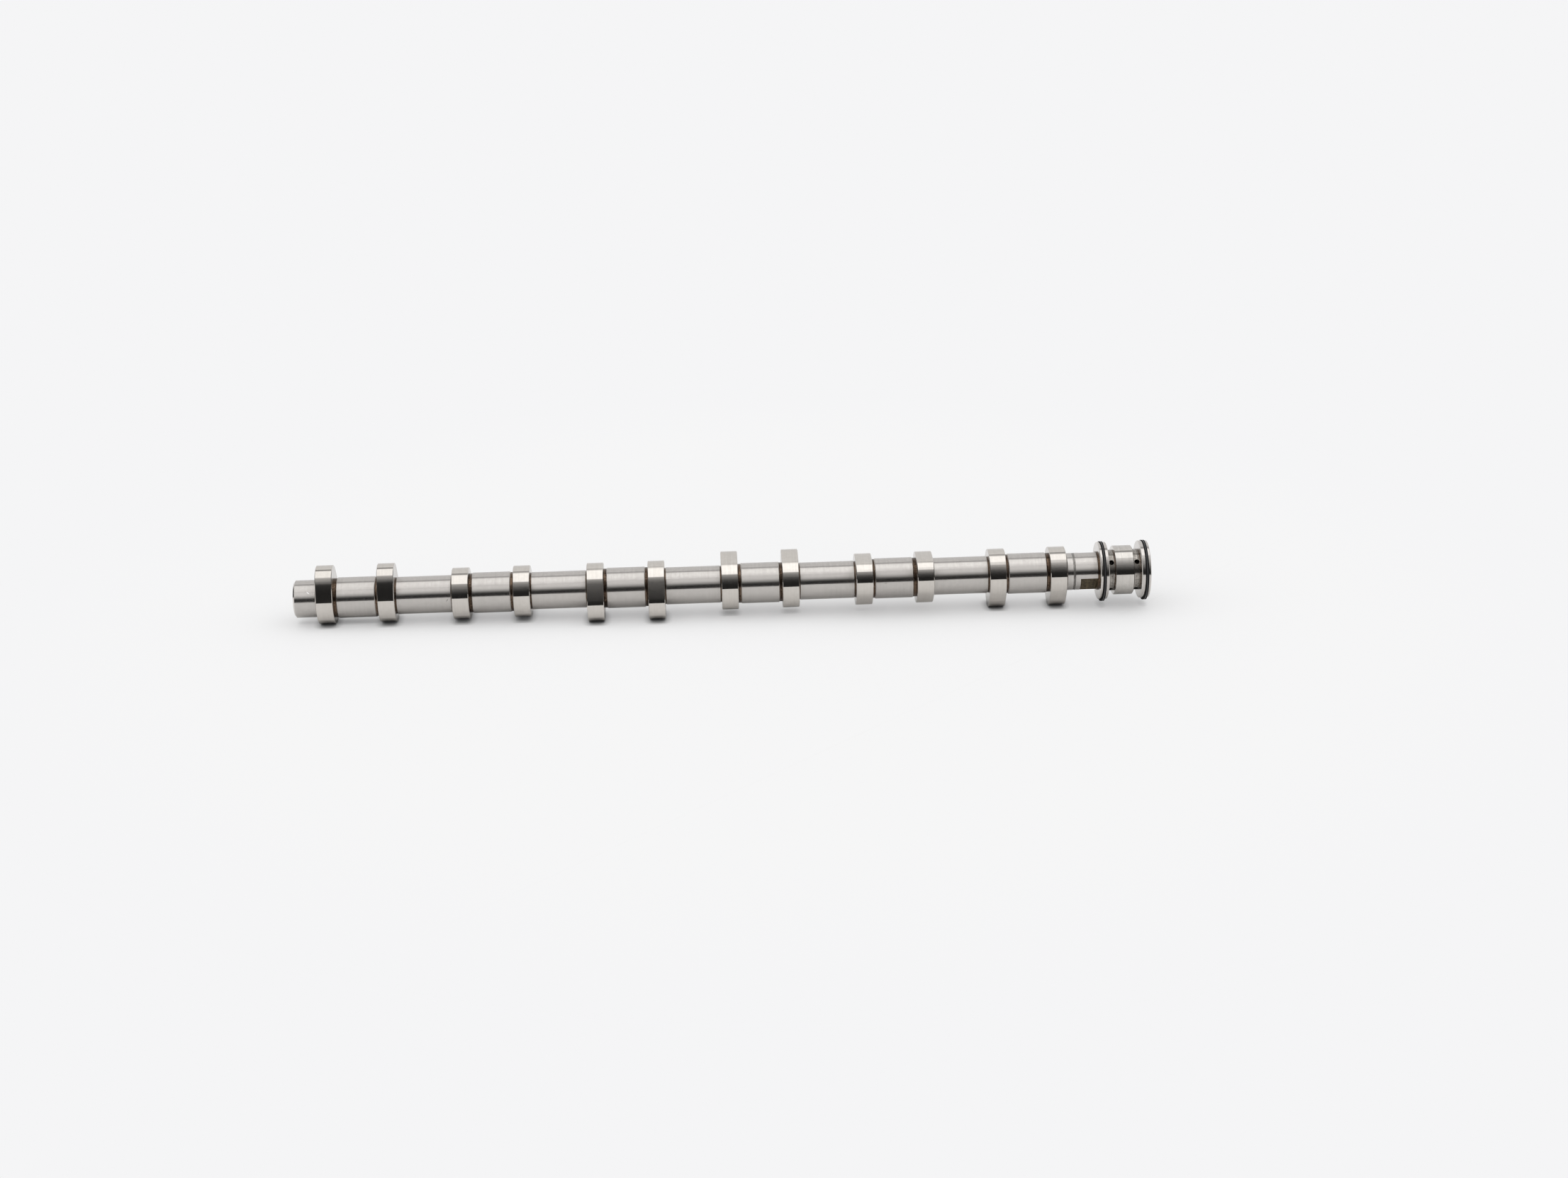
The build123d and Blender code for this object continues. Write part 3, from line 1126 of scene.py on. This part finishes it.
    def radiance(self, tree: Tree, angle: Socket, row: Row) -> Socket:
        """Radiance against elevation across the shaft or azimuth along it.

        Args:
            tree: The world's node tree.
            angle: The angle, in radians.
            row: Angles in degrees and radiances.

        Returns:
            The radiance as a colour.
        """
        brightest = max(radiance for _, radiance in row)
        span = {"From Min": math.radians(FIRST_ANGLE), "From Max": math.radians(LAST_ANGLE)}
        share = node(tree, "MapRange", {"Value": angle, **span}).outputs["Result"]
        ramp = node(tree, "ValToRGB", {"Fac": share})
        shares = ramp.outputs["Color"]
        stops = ramp.color_ramp.elements
        while len(stops) < len(row):
            stops.new(1.0)
        for stop, (degrees, radiance) in zip(stops, row):
            stop.position = (degrees - FIRST_ANGLE) / (LAST_ANGLE - FIRST_ANGLE)
            stop.color = (*(radiance / brightest,) * 3, 1.0)
        return node(tree, "VectorMath", {0: shares, "Scale": brightest}, operation="SCALE").outputs[0]

    def outside(self, tree: Tree, azimuth: Socket, window: Window) -> Socket:
        """How far a direction lies outside a window of azimuths.

        Args:
            tree: The world's node tree.
            azimuth: Azimuth along the shaft, in radians.
            window: The window's middle, and how far from it the change starts and ends, in degrees.

        Returns:
            0 inside the window and 1 outside it.
        """
        middle, start, end = (math.radians(angle) for angle in window)
        away = {"Value": distance_from(tree, azimuth, middle), "From Min": start, "From Max": end}
        return node(tree, "MapRange", away, interpolation_type="SMOOTHSTEP").outputs["Result"]

    def room(self, tree: Tree) -> tuple[Socket, Socket]:
        """The room by direction.

        Args:
            tree: The world's node tree.

        Returns:
            The room's radiance as polished steel mirrors it, and as it falls on matt things.
        """
        direction = node(tree, "TexCoord").outputs["Generated"]
        axes = node(tree, "SeparateXYZ", {"Vector": direction}).outputs
        ahead = node(tree, "Math", {0: axes["Y"], 1: -1.0}, operation="MULTIPLY").outputs[0]
        turn = node(tree, "Math", {0: axes["Z"], 1: ahead}, operation="ARCTAN2").outputs[0]
        # Behind and below lies past the half turn, so the angle is carried on to there
        ends = {1: math.radians(LAST_ANGLE), 2: math.radians(FIRST_ANGLE)}
        elevation = node(tree, "Math", {0: turn, **ends}, operation="WRAP").outputs[0]
        azimuth = node(tree, "Math", {0: axes["X"]}, operation="ARCSINE").outputs[0]
        middle, askew, sides, lamp_back, lamp, fill = (
            self.radiance(tree, elevation, row)
            for row in (self.middle, self.askew, self.sides, self.lamp_back, self.lamp, self.fill)
        )
        hanging, stand, lamp_back_gap, sweep = (
            self.outside(tree, azimuth, window)
            for window in (self.hanging, self.stand, self.lamp_back_gap, self.sweep)
        )
        # How much of each layer shows, the layer, and how it is laid over what is there
        layers = (
            (hanging, askew, "MIX"),
            (stand, sides, "MIX"),
            (lamp_back_gap, lamp_back, "MULTIPLY"),
            (lamp, self.radiance(tree, azimuth, self.lamp_along), "MULTIPLY"),
            (sweep, (*(self.room_share,) * 3, 1.0), "MULTIPLY"),
        )
        light = middle
        for share, layer, way in layers:
            blend = {"Factor": share, "A": light, "B": layer}
            light = node(tree, "Mix", blend, data_type="RGBA", blend_type=way).outputs["Result"]
        return light, fill

    def world(self) -> None:
        """Light the room; the camera itself sees a plain pale background."""
        world = bpy.data.worlds.new("studio")
        world.use_nodes = True
        bpy.context.scene.world = world
        tree = world.node_tree
        tree.nodes.clear()
        mirrored, fallen = (
            node(tree, "Background", {"Color": light}).outputs[0] for light in self.room(tree)
        )
        plain = node(tree, "Background", {"Color": linear(self.background)}).outputs[0]
        path = node(tree, "LightPath").outputs
        lit = node(tree, "MixShader", {0: path["Is Glossy Ray"], 1: fallen, 2: mirrored}).outputs[0]
        shown = node(tree, "MixShader", {0: path["Is Camera Ray"], 1: lit, 2: plain}).outputs[0]
        node(tree, "OutputWorld", {"Surface": shown})

    def paper(self) -> Material:
        """Pale paper with painted glow and painted contact shadow, that fades into the background far away.

        Returns:
            The material.
        """
        made, tree = blank_material("pale_paper")
        coordinates = node(tree, "TexCoord").outputs["Object"]
        aim = (self.aim_x * MM, 0, 0)
        middle = node(tree, "VectorMath", {0: coordinates, 1: aim}, operation="SUBTRACT").outputs[0]
        away = node(tree, "VectorMath", {0: middle}, operation="LENGTH").outputs["Value"]
        # The paper has a little painted glow in its shadows, painted light that lightens them, but not
        # where a lobe stands on it
        contact = {"Color": linear(self.floor_colour), "Distance": self.contact_reach * MM}
        contact_shade = node(tree, "AmbientOcclusion", contact, samples=self.contact_rays).outputs
        glow = node(tree, "Math", {0: contact_shade["AO"], 1: self.paper_glow}, operation="MULTIPLY").outputs[0]
        fade = {"From Min": self.fade_start * MM, "From Max": self.fade_end * MM, "To Min": glow}
        faded = node(tree, "MapRange", {"Value": away, **fade}, interpolation_type="SMOOTHSTEP").outputs[0]
        # The paper's colour is darkened where a lobe stands on it: painted contact shadow
        lit = node(tree, "BsdfDiffuse", {"Color": contact_shade["Color"]}).outputs[0]
        plain = node(tree, "Emission", {"Color": linear(self.background)}).outputs[0]
        path = node(tree, "LightPath").outputs
        far = node(tree, "Math", {0: faded, 1: path["Is Camera Ray"]}, operation="MULTIPLY").outputs[0]
        shown = node(tree, "MixShader", {0: far, 1: lit, 2: plain}).outputs[0]
        # Past its front edge the paper is clear in what steel mirrors
        axes = node(tree, "SeparateXYZ", {"Vector": coordinates}).outputs
        edge = -self.paper_end * MM
        beyond = node(tree, "Math", {0: axes["Y"], 1: edge}, operation="LESS_THAN").outputs[0]
        gone = node(tree, "Math", {0: beyond, 1: path["Is Glossy Ray"]}, operation="MULTIPLY").outputs[0]
        clear = node(tree, "BsdfTransparent").outputs[0]
        final = node(tree, "MixShader", {0: gone, 1: shown, 2: clear}).outputs[0]
        node(tree, "OutputMaterial", {"Surface": final})
        return made

    def floor(self) -> None:
        """Lay the pale paper under the lobes that carry the shaft."""
        deselect()
        bpy.ops.mesh.primitive_plane_add(
            size=self.floor_size * MM,
            location=(0, 0, -self.floor_drop * MM),
            rotation=(0, math.atan(self.floor_slope), 0),
        )
        floor = bpy.context.object
        floor.name = "floor"
        settle(floor)
        floor.data.materials.append(self.paper())

    def build(self) -> None:
        """Build the camera, the world and the floor."""
        self.camera()
        self.world()
        self.floor()
        bpy.context.scene.view_settings.view_transform = "Standard"


def main() -> None:
    """Build the studio and the camshaft, and dress the seal rings."""
    logging.basicConfig(level=logging.INFO, format="%(name)s: %(message)s")
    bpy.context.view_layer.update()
    Studio().build()
    log.info("studio ready")

    materials = {surface: surface.value.material() for surface in Surface}
    body = Camshaft(materials).build()
    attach(body, ROOT)
    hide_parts("camshaft")
    log.info("camshaft: %d faces", len(body.data.polygons))

    for name in ("rear_seal_ring", "front_seal_ring"):
        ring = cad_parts[name]
        lowest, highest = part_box(name)
        seal = SealPlastic(name + "_ptfe", middle=(lowest[0] + highest[0]) / 2 / MM)
        ring.data.materials.clear()
        ring.data.materials.append(seal.material())
        log.info("%s dressed", name)


if __name__ == "__main__":
    main()
